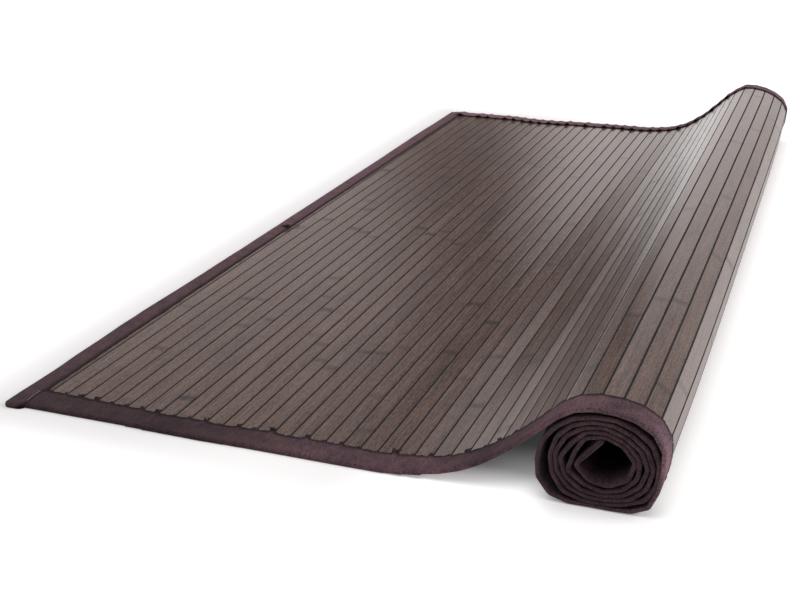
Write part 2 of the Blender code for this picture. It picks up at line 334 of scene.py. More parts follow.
def bamboo_material():
    m = Maker("stained_bamboo_slats")
    u, v = m.split(m.uv())
    tone_and_painted_light, first, gap, groove, seed, dull = (m.attribute(k) for k in ("tone_and_painted_light", "first", "gap", "groove", "seed", "dull"))
    # distance from the nearest node of the cane, and the number of the length between nodes
    along = m.math("DIVIDE", m.math("SUBTRACT", v, first), gap)
    nearest = m.math("ROUND", along)
    wander = m.noise(m.join(m.math("MULTIPLY", u, 260.0), m.math("MULTIPLY", seed, 37.0), nearest), 1.0, 1.0)
    off = m.math("SUBTRACT", m.math("MULTIPLY", m.math("SUBTRACT", along, nearest), gap),
                 m.math("MULTIPLY", m.math("SUBTRACT", wander, 0.5), 0.006))
    far = m.math("ABSOLUTE", off)
    strength = m.math("ADD", 0.25, m.math("MULTIPLY", 0.75, m.white(m.math("ADD", nearest, m.math("MULTIPLY", seed, 91.0)))))
    patchy = m.noise(m.join(m.math("MULTIPLY", u, 190.0), m.math("MULTIPLY", v, 90.0), seed), 1.0, 2.0)
    ring = m.math("MULTIPLY", m.smooth(far, 0.0010, 0.0105, 1.0, 0.0), strength)
    ring = m.math("MULTIPLY", ring, m.smooth(patchy, 0.32, 0.56, 0.35, 1.0))
    halo = m.smooth(m.math("ABSOLUTE", m.math("SUBTRACT", off, 0.012)), 0.0, 0.016, 1.0, 0.0)
    length = m.math("FLOOR", along)
    step = m.math("MULTIPLY", m.math("SUBTRACT", m.white(m.math("ADD", length, m.math("MULTIPLY", seed, 53.0))), 0.5), 0.11)
    # grain along the slat
    fine = m.noise(m.join(m.math("MULTIPLY", u, 2600.0), m.math("MULTIPLY", v, 26.0), seed), 1.0, 3.0, 0.6)
    fibre = m.noise(m.join(m.math("MULTIPLY", u, 700.0), m.math("MULTIPLY", v, 7.0), seed), 1.0, 2.0, 0.5)
    cloud = m.noise(m.join(m.math("MULTIPLY", u, 60.0), m.math("MULTIPLY", v, 9.0), seed), 1.0, 2.0, 0.5)
    fleck = m.noise(m.join(m.math("MULTIPLY", u, 1050.0), m.math("MULTIPLY", v, 150.0), seed), 1.0, 2.0, 0.7)
    level = m.math("ADD", m.math("MULTIPLY", m.math("SUBTRACT", fine, 0.5), 0.50),
                   m.math("MULTIPLY", m.math("SUBTRACT", fibre, 0.5), 1.40))
    level = m.math("ADD", level, m.math("MULTIPLY", m.math("SUBTRACT", fleck, 0.5), m.smooth(v, 0.25, 1.10, 2.7, 4.8)))
    streak = m.noise(m.join(m.math("MULTIPLY", u, 330.0), m.math("MULTIPLY", v, 26.0), m.math("ADD", seed, 4.0)), 1.0, 2.0, 0.6)
    level = m.math("ADD", level, m.math("MULTIPLY", m.math("SUBTRACT", streak, 0.5), 0.95))
    level = m.math("ADD", level, m.math("MULTIPLY", m.math("SUBTRACT", cloud, 0.5), 0.60))
    level = m.math("ADD", level, step)
    level = m.math("ADD", level, m.math("MULTIPLY", halo, 0.05))
    level = m.math("MULTIPLY", m.math("MAXIMUM", m.math("ADD", level, 1.0), 0.3), tone_and_painted_light)
    level = m.math("MULTIPLY", level, m.math("SUBTRACT", 1.0, m.math("MULTIPLY", ring, 0.85)))
    # small dark specks in the skin of the cane
    speck = m.noise(m.join(m.math("MULTIPLY", u, 420.0), m.math("MULTIPLY", v, 150.0), seed), 1.0, 1.0)
    level = m.math("MULTIPLY", level, m.smooth(speck, 0.73, 0.80, 1.0, 0.62))
    level = m.math("MULTIPLY", level, m.math("SUBTRACT", 1.0, m.math("MULTIPLY", groove, 0.93)))
    warm = m.math("ADD", m.math("MULTIPLY", cloud, 0.6), m.math("MULTIPLY", m.white(seed), 0.5), clamp=True)
    colour = m.mix(warm, BAMBOO_COOL, BAMBOO_WARM)
    m.put(m.shader.inputs["Base Color"], m.scale(colour, level))
    rough = m.math("ADD", 0.16, m.math("MULTIPLY", fibre, 0.06))
    rough = m.math("ADD", m.math("ADD", rough, dull), m.math("MULTIPLY", groove, 0.65))
    m.put(m.shader.inputs["Roughness"], m.math("ADD", rough, m.math("MULTIPLY", ring, 0.05), clamp=True))
    m.shader.inputs["Specular IOR Level"].default_value = 0.5
    m.shader.inputs["IOR"].default_value = 1.5
    height = m.math("ADD", m.math("MULTIPLY", fine, 0.5), m.math("MULTIPLY", fibre, 0.6))
    m.put(m.shader.inputs["Normal"], m.bump(height, 0.20, 0.00010))
    return m.material


def cloth_material(name, dark=1.0):
    m = Maker(name)
    u, v = m.split(m.uv())
    hem_stitch_and_shade = m.attribute("hem_stitch_and_shade")
    # twill: two sets of threads, one stepping over the other
    warp = m.math("SINE", m.math("MULTIPLY", m.math("ADD", u, m.math("MULTIPLY", v, 0.35)), 2 * math.pi / 0.0019))
    weft = m.math("SINE", m.math("MULTIPLY", m.math("SUBTRACT", v, m.math("MULTIPLY", u, 0.2)), 2 * math.pi / 0.0015))
    threads = m.math("ADD", m.math("MULTIPLY", warp, 0.6), m.math("MULTIPLY", weft, 0.35))
    fuzz = m.noise(m.join(m.math("MULTIPLY", u, 620.0), m.math("MULTIPLY", v, 560.0)), 1.0, 2.0, 0.7)
    slub = m.noise(m.join(m.math("MULTIPLY", u, 300.0), m.math("MULTIPLY", v, 75.0)), 1.0, 3.0, 0.6)
    cloud = m.noise(m.join(m.math("MULTIPLY", u, 42.0), m.math("MULTIPLY", v, 60.0)), 1.0, 3.0, 0.55)
    level = m.math("ADD", 1.0, m.math("MULTIPLY", threads, 0.16))
    level = m.math("ADD", level, m.math("MULTIPLY", m.math("SUBTRACT", fuzz, 0.5), 3.00))
    level = m.math("ADD", level, m.math("MULTIPLY", m.math("SUBTRACT", slub, 0.5), 1.50))
    level = m.math("ADD", level, m.math("MULTIPLY", m.math("SUBTRACT", cloud, 0.5), 0.85))
    level = m.math("MAXIMUM", level, 0.25)
    # darker along the tape's inner edge, top and underside: partly the dark stitching, partly painted shade of the
    # edge's shadow line
    level = m.math("MULTIPLY", level, m.math("SUBTRACT", 1.0, m.math("MULTIPLY", hem_stitch_and_shade, 0.72)))
    # painted light and shade on the cloth, set along each tape; on the slats the same attribute is their own tone
    level = m.math("MULTIPLY", level, m.attribute("tone_and_painted_light"))
    colour = m.mix(m.smooth(cloud, 0.35, 0.65, 0.0, 1.0), CLOTH_COOL, CLOTH_WARM)
    m.put(m.shader.inputs["Base Color"], m.scale(colour, m.math("MULTIPLY", level, dark)))
    m.put(m.shader.inputs["Roughness"], m.math("ADD", 0.84, m.math("MULTIPLY", fuzz, 0.12)))
    m.shader.inputs["Specular IOR Level"].default_value = 0.15
    m.shader.inputs["Sheen Weight"].default_value = 0.06
    m.shader.inputs["Sheen Roughness"].default_value = 0.55
    m.shader.inputs["Sheen Tint"].default_value = (0.75, 0.62, 0.70, 1.0)
    height = m.math("ADD", m.math("MULTIPLY", threads, 0.6), m.math("MULTIPLY", fuzz, 0.8))
    m.put(m.shader.inputs["Normal"], m.bump(height, 0.75, 0.00045, m.bump(slub, 0.45, 0.0012)))
    return m.material


def thread_material(name, colour):
    m = Maker(name)
    coord = m.nodes.new("ShaderNodeTexCoord").outputs["Object"]
    twist = m.noise(coord, 2400.0, 2.0, 0.6)
    shade = m.math("ADD", 0.7, m.math("MULTIPLY", twist, 0.6))
    m.put(m.shader.inputs["Base Color"], m.scale(colour, shade))
    m.shader.inputs["Roughness"].default_value = 0.8
    m.shader.inputs["Specular IOR Level"].default_value = 0.25
    m.put(m.shader.inputs["Normal"], m.bump(twist, 0.5, 0.0002))
    return m.material


BAMBOO_COOL = (0.082, 0.0530, 0.0455, 1.0)
BAMBOO_WARM = (0.094, 0.0565, 0.0430, 1.0)
CLOTH_COOL = (0.045, 0.0265, 0.0345, 1.0)
CLOTH_WARM = (0.055, 0.0290, 0.0325, 1.0)

bamboo = bamboo_material()
cloth = cloth_material("edging_cloth")
dark_thread = thread_material("dark_thread", (0.020, 0.014, 0.015, 1.0))
light_thread = thread_material("light_thread", (0.30, 0.24, 0.25, 1.0))

# ------------------------------------------------------------------ slats
SLAT_PROFILE = (
    # (side, distance from the joint in mm, height in mm, groove)
    (0, 0.60, -0.90, 0.6), (0, 0.10, -0.45, 1.0), (0, -0.03, -0.25, 1.0), (0, 0.45, 0.05, 1.0), (0, 0.85, 0.66, 0.95),
    (0, 1.06, 0.80, 0.80), (0, 1.14, 0.85, 0.0), (0, 3.00, 0.90, 0.0),
    (1, 3.00, 0.90, 0.0), (1, 1.14, 0.85, 0.0), (1, 1.06, 0.80, 0.80), (1, 0.85, 0.66, 0.95), (1, 0.45, 0.05, 1.0),
    (1, -0.03, -0.25, 1.0), (1, 0.10, -0.45, 1.0), (1, 0.60, -0.90, 0.6),
)


def build_slats():
    rows = 34
    cols = len(SLAT_PROFILE)
    share = np.linspace(0, 1, rows)
    verts, faces, uvs = [], [], []
    attrs = {k: [] for k in ("tone_and_painted_light", "first", "gap", "groove", "seed", "dull")}
    wander = []
    for j in range(COUNT + 1):
        a, b = rng.uniform(0, 2 * math.pi, 2)
        wander.append(0.00016 * np.sin(2 * math.pi * share * rng.uniform(1.0, 2.5) + a)
                      + 0.00010 * np.sin(2 * math.pi * share * rng.uniform(4, 8) + b))
    for i in range(COUNT):
        x = NEAR[i][0]
        y_near, y_far = SLAT_IN, RUG_WIDTH - SLAT_IN
        if i <= 40:
            y_near += near_wave(x)
            y_far += far_wave(x)
        y = y_near + (y_far - y_near) * share
        k = i - JOINT0
        if 0 <= k < len(SLAT_LOOK):
            tone_and_painted_light, first, gap = SLAT_LOOK[k]
            tone_and_painted_light = 1 + (tone_and_painted_light - 1) * 1.1
        else:
            tone_and_painted_light, first, gap = rng.uniform(0.93, 1.07), rng.uniform(0, 20), rng.uniform(19, 25)
        tone_and_painted_light = 0.96 if i == 0 else tone_and_painted_light
        seed = rng.uniform(0, 10)
        tilt = rng.uniform(-0.00007, 0.00007)
        bow = rng.uniform(-0.00006, 0.00006)
        base = len(verts) * rows * cols
        block = np.zeros((rows, cols, 3))
        buv = np.zeros((rows, cols, 2))
        near_len = np.linalg.norm(NEAR[i + 1] - NEAR[i])
        far_len = np.linalg.norm(FAR[i + 1] - FAR[i])
        length = near_len + (far_len - near_len) * share
        for c, (side, ds, h, groove) in enumerate(SLAT_PROFILE):
            ds = ds / 1000
            s = ds + wander[i] if side == 0 else length - ds + wander[i + 1]
            if i == 0 and side == 0:
                s = 0.0016 + 0 * s
            if i == COUNT - 1 and side == 1:
                s = length - 0.0016
            hh = h / 1000 + (tilt * (1 if side else -1) + bow * np.sin(math.pi * share * 2 + seed)) * (h > 0.5)
            p = on_mat(i, s / length, y, hh + 0 * share)
            block[:, c] = world(p[:, 0], y, p[:, 1])
            buv[:, c, 0] = s + 0.05 * (i + 1)
            buv[:, c, 1] = y - TAPE_LONG
        verts.append(block.reshape(-1, 3))
        uvs.append(buv.reshape(-1, 2))
        faces.append(grid_faces(rows, cols, base, close_cols=True)[:, ::-1])
        n = rows * cols
        attrs["tone_and_painted_light"].append(np.full(n, tone_and_painted_light))
        attrs["first"].append(np.full(n, first * PITCH))
        attrs["gap"].append(np.full(n, gap * PITCH))
        attrs["seed"].append(np.full(n, seed))
        attrs["dull"].append(np.full(n, np.interp(k, (35, 37), (0.0, 0.20))))
        attrs["groove"].append(np.tile([g for _, _, _, g in SLAT_PROFILE], rows))
    total = len(verts)
    caps = []
    for i in range(total):
        base = i * rows * cols
        caps.append([base + c for c in range(cols)])
        caps.append([base + (rows - 1) * cols + c for c in reversed(range(cols))])
    all_faces = [f for block in faces for f in block] + caps
    joined = {k: np.concatenate(v) for k, v in attrs.items()}

    def sharp(a, b):
        lengthwise = (a % cols == b % cols) & (a // cols != b // cols)
        ends = ((a // cols) % rows == 0) & ((b // cols) % rows == 0) | \
               ((a // cols) % rows == rows - 1) & ((b // cols) % rows == rows - 1)
        return lengthwise | ends

    return new_mesh("bamboo_slats", np.concatenate(verts), all_faces, np.concatenate(uvs), joined, bamboo, True, sharp)


slats = build_slats()

# ------------------------------------------------------------------ long tapes
TAPE_PROFILE = (
    # (distance from the fold in mm, height in mm, lift share, hem darkening: partly dark stitching, partly painted
    # shade along the cloth's edge)
    (31.5, 0.98, 1.00, 1.0), (31.5, 1.40, 1.00, 1.0), (31.1, 1.80, 1.00, 1.0), (30.4, 1.95, 0.97, 0.95), (29.4, 1.90, 0.92, 0.80),
    (28.2, 1.62, 0.80, 0.40), (26.8, 1.80, 0.66, 0.10), (22.5, 1.84, 0.46, 0.0), (17.0, 1.78, 0.30, 0.0), (11.0, 1.82, 0.18, 0.0),
    (6.0, 1.80, 0.10, 0.0), (3.0, 1.72, 0.04, 0.0), (1.3, 1.52, 0.03, 0.0), (0.35, 1.00, 0.0, 0.0), (0.0, 0.0, 0.0, 0.0),
    (0.35, -1.00, 0.0, 0.0), (1.3, -1.50, 0.0, 0.0), (3.0, -1.65, 0.0, 0.0), (9.0, -1.68, 0.0, 0.0), (17.0, -1.66, 0.0, 0.0),
    (25.0, -1.66, 0.0, 0.0), (30.8, -1.62, 0.0, 0.2), (31.45, -1.35, 0.0, 0.8), (31.5, -0.98, 0.0, 1.0),
)
NEAR_EDGE = (0.15, 0.10, 0.0, -0.02, -0.06, -0.10, -0.14, -0.22, -0.26, -0.18, -0.20, -0.32, -0.22, -0.17,
             -0.10, -0.28, -0.18, -0.17, -0.18, -0.22, -0.26, -0.15)
# height of the little arches of the cloth over the joints, in mm
NEAR_ARCH = (0.3, 0.5, 0.6, 0.9, 0.5, 0.8, 0.9, 1.2, 0.5, 0.4, 1.1, 0.3, 0.9, 0.5, 1.4, 0.3, 1.1, 0.5, 0.7, 0.4, 0.3, 1.3,
             0.5, 0.9, 0.4, 1.0, 0.5, 0.9, 0.6, 0.3, 0.2, 0.1, 0.1, 0.1)
FAR_ARCH = (3.6, 0.5, 2.9, 3.1, 0.6, 2.9, 3.1, 2.6, 3.0, 2.7, 3.0, 2.4, 3.2, 1.0, 3.4, 1.0, 3.0, 2.6, 2.7, 3.1, 1.8, 2.8,
            2.6, 1.2, 2.8, 1.4, 2.4, 1.2, 2.6, 1.4, 2.0, 0.9, 0.8, 0.5)


# how light the cloth is, by joint number: painted light and shade, lighter where the cloth would catch sheen or light,
# darker where it would be shaded, as on the inner turns
NEAR_PAINTED_LIGHT = ((-1, 4, 8, 12, 16.5, 20, 23.4, 26, 29, 32, 34, 36, 37.5, 40, 46, 110),
             (0.70, 0.70, 0.57, 0.85, 1.55, 1.50, 1.80, 1.00, 1.25, 2.15, 1.25, 1.70, 2.70, 1.25, 0.82, 0.70))
FAR_PAINTED_LIGHT = ((-1, 10, 20, 30, 38, 44, 110), (3.4, 2.9, 2.4, 2.5, 2.4, 1.9, 1.0))


def stations():
    """(slat, share across it, joint number) along the section, closer together near the joints."""
    out = []
    for i in range(0, COUNT):
        k = i - JOINT0
        if i == 0:
            shares = (0.45, 0.60, 0.75, 0.86, 0.94)
        elif k < 37:
            shares = (0.0, 0.06, 0.13, 0.21, 0.32, 0.5, 0.68, 0.79, 0.87, 0.94)
        elif i < COUNT - 2:
            shares = (0.0, 0.07, 0.15, 0.24, 0.5, 0.76, 0.85, 0.93)
        elif i == COUNT - 2:
            shares = (0.0, 0.14, 0.3, 0.6, 1.0)
        else:
            shares = ()
        out += [(i, t, k + t) for t in shares]
    return out


def skin_path(points, i, t, reach=0.24):
    """Point and normal of the cloth's path over the joints of one section, rounded at each joint."""
    if t < 0.5:
        j, tau = i, t
    else:
        j, tau = i + 1, t - 1.0
    if j <= 0 or j >= COUNT or abs(tau) > reach:
        a, b = points[i], points[i + 1]
        d = (b - a) / np.linalg.norm(b - a)
        return a + (b - a) * t, np.array([-d[1], d[0]])
    a = points[j] + (points[j - 1] - points[j]) * reach
    c = points[j] + (points[j + 1] - points[j]) * reach
    q = (tau + reach) / (2 * reach)
    p = (1 - q) ** 2 * a + 2 * q * (1 - q) * points[j] + q ** 2 * c
    d = 2 * (1 - q) * (points[j] - a) + 2 * q * (c - points[j])
    d = d / np.linalg.norm(d)
    return p, np.array([-d[1], d[0]])


def build_long_tape(name, far):
    marks = stations()
    arches = FAR_ARCH if far else NEAR_ARCH
    profile = np.array([row for row in TAPE_PROFILE], float)
    rows, cols = len(marks), len(profile)
    local = np.random.default_rng(7 if far else 5)
    arch_at = list(arches) + list(local.uniform(0.0, 0.08, COUNT))
    width = local.uniform(0.19, 0.27, COUNT + 2) if far else local.uniform(0.13, 0.20, COUNT + 2)
    edge_at = np.array(NEAR_EDGE) if not far else local.uniform(-0.10, 0.05, len(NEAR_EDGE))
    wobble = local.uniform(-0.05, 0.05, COUNT + 2)
    verts, uvs, hem_stitch_and_shade_rows, painted_light_levels = [], [], [], []
    run = 0.0
    last = None
    side_points = FAR if far else NEAR
    for i, t, place in marks:
        j0 = max(0, int(math.floor(place)))
        lift = 0.0
        for j in (j0 - 1, j0, j0 + 1):
            if 0 <= j < len(arch_at):
                lift = max(lift, arch_at[j] * math.exp(-((place - j) / width[j]) ** 2))
        flatness = 1.0 if place < 30 else max(0.0, 1 - (place - 30) / 4)
        inner = np.interp(place, np.arange(len(edge_at)), edge_at) if place < 21 else \
            edge_at[-1] * max(0.0, 1 - (place - 21) / 4)
        inner += np.interp(place, np.arange(COUNT + 2), wobble) * (0.6 if place < 37 else 0.3)
        inner += 0.055 * lift * (0.5 if far else 1.0)
        swing = 0.0
        if place < 40:
            swing = float((far_wave if far else near_wave)(side_points[i][0]))
        stretch = 1 + (inner * PITCH - (0.0 if far else swing)) / TAPE_LONG
        # slack cloth under the flat part reaches the floor
        sag = 0.55 * max(0.0, min(1.0, (21.5 - place) / 3)) if place < 22 else 0.0
        dist = profile[:, 0] / 1000 * stretch
        h = profile[:, 1] / 1000
        lift_m = lift / 1000 * flatness
        h = h + lift_m * profile[:, 2] + 0.00018 * (lift / 1.5) * (profile[:, 1] > 1.2) * flatness
        h = np.where(profile[:, 1] < -0.5, h - sag / 1000, h)
        if far:                              # the whole cloth bulges a little over each joint
            h = h + 0.35 * lift_m * (profile[:, 1] > 1.2) * (profile[:, 0] < 24)
        if place > 38:                       # pressed flat between the turns
            h = np.clip(h, -0.00160, 0.00160)
        y = RUG_WIDTH - dist + swing if far else dist + swing
        s = (y / RUG_WIDTH)[:, None]
        reach = 0.15 if place < 47 else 0.24
        (pn, nn), (pf, nf) = skin_path(NEAR, i, t, reach), skin_path(FAR, i, t, reach)
        n = nn * (1 - s) + nf * s
        n = n / np.linalg.norm(n, axis=1, keepdims=True)
        p = pn * (1 - s) + pf * s + n * h[:, None]
        p[:, 0] += bulge(i, s[:, 0]) * (1 - t) + bulge(i + 1, s[:, 0]) * t
        p[:, 1] = np.maximum(p[:, 1], 0.0002)
        verts.append(world(p[:, 0], y, p[:, 1]))
        here = skin_path(side_points, i, t)[0]
        if last is not None:
            run += float(np.linalg.norm(here - last))
        last = here
        across = np.concatenate([[0], np.cumsum(np.hypot(np.diff(profile[:, 0]), np.diff(profile[:, 1])) / 1000)])
        uvs.append(np.stack([np.full(cols, run), across], -1))
        hem_stitch_and_shade_rows.append(profile[:, 3])
        # painted light and shade along the tape, by joint number
        painted_light_levels.append(np.full(cols, np.interp(place, *(FAR_PAINTED_LIGHT if far else NEAR_PAINTED_LIGHT))))
    faces = grid_faces(rows, cols)
    if not far:
        faces = faces[:, ::-1]
    piece = new_mesh(name, np.concatenate(verts), faces, np.concatenate(uvs),
                     {"hem_stitch_and_shade": np.concatenate(hem_stitch_and_shade_rows), "tone_and_painted_light": np.concatenate(painted_light_levels)}, cloth)
    skin = piece.modifiers.new("cloth", "SOLIDIFY")
    skin.thickness = CLOTH
    skin.offset = -1.0
    return piece, run


tape_near, run_near = build_long_tape("edging_near", False)
tape_far, run_far = build_long_tape("edging_far", True)

# ------------------------------------------------------------------ end tapes
FLAT_OUTER = ((-2.5, -1.60), (-1.6, -1.60), (0.5, -1.63), (2.8, -1.62), (5.2, -1.69), (7.8, -1.72), (10.5, -1.77), (13.3, -1.77),
              (16.4, -1.70), (19.7, -1.64), (27.0, -1.59), (35.0, -1.56), (45.0, -1.54), (56.0, -1.53), (63.0, -1.60),
              (71.0, -1.61), (73.0, -1.55), (76.0, -1.48), (80.5, -1.46))      # (along, edge), in slat widths
FLAT_INNER = ((-2.2, -0.30), (-1.7, -0.33), (-0.7, -0.44), (0.0, -0.42), (0.6, -0.41), (6.0, -0.44), (20.0, -0.46), (33.0, -0.45),
              (36.0, -0.42), (60.0, -0.38), (77.0, -0.34), (78.6, -0.30), (80.2, -0.26))
END_PROFILE = (
    # (share of the way from the fold to the inner edge, height in mm, hem darkening: partly dark stitching, partly
    # painted shade along the edge)
    (1.00, 0.98, 1.0), (1.00, 1.50, 1.0), (0.975, 1.95, 0.95), (0.94, 2.05, 0.75), (0.90, 1.80, 0.45), (0.86, 1.68, 0.35),
    (0.82, 1.85, 0.05), (0.68, 1.95, 0.0), (0.50, 1.95, 0.0), (0.32, 1.95, 0.0), (0.18, 1.92, 0.0), (0.09, 1.78, 0.0),
    (0.035, 1.40, 0.0), (0.007, 0.80, 0.0), (0.0, 0.0, 0.0), (0.007, -0.9, 0.0), (0.04, -1.6, 0.0), (0.10, -2.1, 0.0),
    (0.35, -2.15, 0.0), (0.65, -2.15, 0.0), (0.90, -2.1, 0.0), (0.99, -1.6, 0.6), (1.00, -0.98, 1.0),
)


def build_flat_end():
    y0, y1 = TAPE_LONG - 2.13 * PITCH, RUG_WIDTH + 0.05 * PITCH
    tip = np.array([0.0, 0.25, 0.6, 1.1, 1.8, 2.8, 4.2, 6.0, 8.5, 11.5, 15.0, 19.0, 24.0]) / 1000
    ys = np.concatenate([y0 + tip, np.linspace(y0 + 0.032, y1 - 0.032, 170), (y1 - tip)[::-1]])
    local = np.random.default_rng(11)
    knots = np.linspace(y0, y1, 60)
    puff = local.uniform(-0.12, 0.12, 60)
    edge = local.uniform(-0.012, 0.012, 60)
    profile = np.array(END_PROFILE)
    verts, uvs, hem_stitch_and_shade_rows, painted_light_levels = [], [], [], []
    for y in ys:
        at = (y - TAPE_LONG) / PITCH
        xo = np.interp(at, *zip(*FLAT_OUTER)) * PITCH + np.interp(y, knots, edge) * PITCH
        xi = np.interp(at, *zip(*FLAT_INNER)) * PITCH + np.interp(y, knots, edge[::-1]) * PITCH
        near_tip, far_tip = y - y0, y1 - y
        d = min(near_tip, far_tip)
        r_out, r_in = (0.0060, 0.0120) if near_tip < far_tip else (0.0240, 0.0045)
        if d < r_out:
            xo += r_out - math.sqrt(max(0.0, r_out ** 2 - (r_out - d) ** 2))
        if d < r_in:
            xi -= 0.8 * (r_in - math.sqrt(max(0.0, r_in ** 2 - (r_in - d) ** 2)))
        thick = math.sqrt(max(0.0, 1 - (1 - min(1.0, d / 0.0022)) ** 2))
        # thicker where it wraps the end of the long tape
        over = 0.75 if at < -0.1 or at > 78.3 else 0.0
        over = over * min(1.0, d / 0.004) if over else 0.35 * max(0.0, 1 - abs(at) / 0.8)
        x = xo + (xi - xo) * profile[:, 0]
        h = profile[:, 1] / 1000
        top = profile[:, 1] > 0
        h = np.where(top, h + (over + np.interp(y, knots, puff)) / 1000 * np.clip(profile[:, 1] / 1.5, 0, 1), h)
        z = MID_HEIGHT + np.where(top, h * thick, np.where(profile[:, 1] < 0, np.minimum(h * thick, 0), 0))
        # the closed tip sinks to the floor
        sink = (1 - min(1.0, d / 0.006)) * 0.0004
        z = np.maximum(z - sink, 0.0001)
        verts.append(world(x, np.full(len(x), y), z))
        across = np.concatenate([[0], np.cumsum(np.hypot(np.diff(profile[:, 0] * 26.8), np.diff(profile[:, 1])) / 1000)])
        uvs.append(np.stack([across + 0.3, np.full(len(x), y)], -1))
        hem_stitch_and_shade_rows.append(profile[:, 2])
        # painted light: the flat end's cloth is made lighter towards the far end, standing in for sheen
        painted_light_levels.append(np.full(len(profile), np.interp(at, (-2, 5, 25, 32, 60, 80), (0.90, 1.25, 1.55, 1.85, 2.2, 2.2))))
    faces = grid_faces(len(ys), len(profile))
    piece = new_mesh("edging_flat_end", np.concatenate(verts), faces, np.concatenate(uvs), {"hem_stitch_and_shade": np.concatenate(hem_stitch_and_shade_rows), "tone_and_painted_light": np.concatenate(painted_light_levels)}, cloth)
    skin = piece.modifiers.new("cloth", "SOLIDIFY")
    skin.thickness = CLOTH
    skin.offset = -1.0
    return piece, float(ys[-1] - ys[0])


def build_inner_end():
    y0, y1 = -0.0006, RUG_WIDTH + 0.0006
    tip = np.array([0.0, 0.3, 0.8, 1.5, 2.5, 4.0, 7.0]) / 1000
    ys = np.concatenate([y0 + tip, np.linspace(y0 + 0.02, y1 - 0.02, 60), (y1 - tip)[::-1]])
    profile = np.array(END_PROFILE)
    verts, uvs, hem_stitch_and_shade_rows, painted_light_levels = [], [], [], []
    for y in ys:
        s = y / RUG_WIDTH
        a = NEAR[-3] * (1 - s) + FAR[-3] * s
        b = NEAR[-1] * (1 - s) + FAR[-1] * s
        d = (b - a) / np.linalg.norm(b - a)
        n = np.array([-d[1], d[0]])
        end = min(y - y0, y1 - y)
        thick = math.sqrt(max(0.0, 1 - (1 - min(1.0, end / 0.0016)) ** 2))
        h = np.clip(profile[:, 1], -1.62, 1.72) / 1000 * max(thick, 0.05)
        if min(y, RUG_WIDTH - y) < TAPE_LONG:
            h = h * 1.12
        p = b[None] - d[None] * (profile[:, 0] * TAPE_SHORT)[:, None] + n[None] * h[:, None]
        verts.append(world(p[:, 0], np.full(len(p), y), p[:, 1]))
        across = np.concatenate([[0], np.cumsum(np.hypot(np.diff(profile[:, 0] * 26.8), np.diff(profile[:, 1])) / 1000)])
        uvs.append(np.stack([across + 0.5, np.full(len(p), y)], -1))
        # hem darkening at half strength on the inner end: partly stitching, partly painted shade
        hem_stitch_and_shade_rows.append(profile[:, 2] * 0.5)
        # painted shade: the inner end's cloth is made darker, deep inside the roll
        painted_light_levels.append(np.full(len(profile), 0.72))
    faces = grid_faces(len(ys), len(profile))[:, ::-1]
    piece = new_mesh("edging_inner_end", np.concatenate(verts), faces, np.concatenate(uvs), {"hem_stitch_and_shade": np.concatenate(hem_stitch_and_shade_rows), "tone_and_painted_light": np.concatenate(painted_light_levels)}, cloth)
    skin = piece.modifiers.new("cloth", "SOLIDIFY")
    skin.thickness = CLOTH
    skin.offset = -1.0
    return piece, float(ys[-1] - ys[0])


tape_flat, run_flat = build_flat_end()
tape_inner, run_inner = build_inner_end()


# ------------------------------------------------------------------ stitches and knot
def dashes(name, path, normals, pitch, length, radius, material, sink=0.3):
    """A row of stitches along a path: short thread loops that dip at both ends."""
    path, normals = np.asarray(path), np.asarray(normals)
    seg = np.linalg.norm(np.diff(path, axis=0), axis=1)
    at = np.concatenate([[0], np.cumsum(seg)])
    centres = np.arange(pitch / 2, at[-1] - pitch / 2, pitch)
    verts, faces = [], []
    around, steps = 6, (-0.5, -0.36, 0.0, 0.36, 0.5)
    for c in centres:
        base = len(verts)
        pts = []
        for s in steps:
            w = c + s * length
            p = np.array([np.interp(w, at, path[:, q]) for q in range(3)])
            n = np.array([np.interp(w, at, normals[:, q]) for q in range(3)])
            n = n / np.linalg.norm(n)
            r = radius * (0.35 if abs(s) == 0.5 else 1.0)
            pts.append((p + n * (radius * (0.55 - (2 * abs(s)) ** 3 * (1 + sink))), n, r))
        d = pts[-1][0] - pts[0][0]
        d = d / np.linalg.norm(d)
        for p, n, r in pts:
            side = np.cross(d, n)
            side = side / np.linalg.norm(side)
            up = np.cross(side, d)
            for q in range(around):
                a = 2 * math.pi * q / around
                verts.append(p + (side * math.cos(a) + up * math.sin(a) * 0.8) * r)
        for k in range(len(steps) - 1):
            for q in range(around):
                a, b = base + k * around + q, base + k * around + (q + 1) % around
                faces.append((a, b, b + around, a + around))
        faces.append(tuple(base + q for q in reversed(range(around))))
        faces.append(tuple(base + (len(steps) - 1) * around + q for q in range(around)))
    return new_mesh(name, verts, faces, material=material)


def tape_line(piece, rows, cols, column, lift=0.0):
    """The path that one column of a tape's skin follows, with its normals."""
    co = np.zeros(len(piece.data.vertices) * 3, np.float32)
    piece.data.vertices.foreach_get("co", co)
    co = co.reshape(rows, cols, 3)
    line = co[:, column]
    along = np.gradient(line, axis=0)
    across = co[:, column + 1] - co[:, column - 1]
    n = np.cross(along, across)
    n /= np.linalg.norm(n, axis=1, keepdims=True) + 1e-12
    return line + n * lift, n


count = len(stations())
stitch_pieces = {}
for name, piece, flip in (("near", tape_near, 1.0), ("far", tape_far, -1.0)):
    line, n = tape_line(piece, count, len(TAPE_PROFILE), 5)
    n = n * np.sign(n[5, 2])
    stitch_pieces[name] = dashes(f"stitches_{name}", line, n, 0.0042, 0.0032, 0.00032, dark_thread)
line, n = tape_line(tape_flat, len(tape_flat.data.vertices) // len(END_PROFILE), len(END_PROFILE), 5)
n = n * np.sign(n[40, 2])
inside = slice(16, -16)
stitch_pieces["flat_end"] = dashes("stitches_flat_end", line[inside], n[inside], 0.0042, 0.0032, 0.00032, dark_thread)


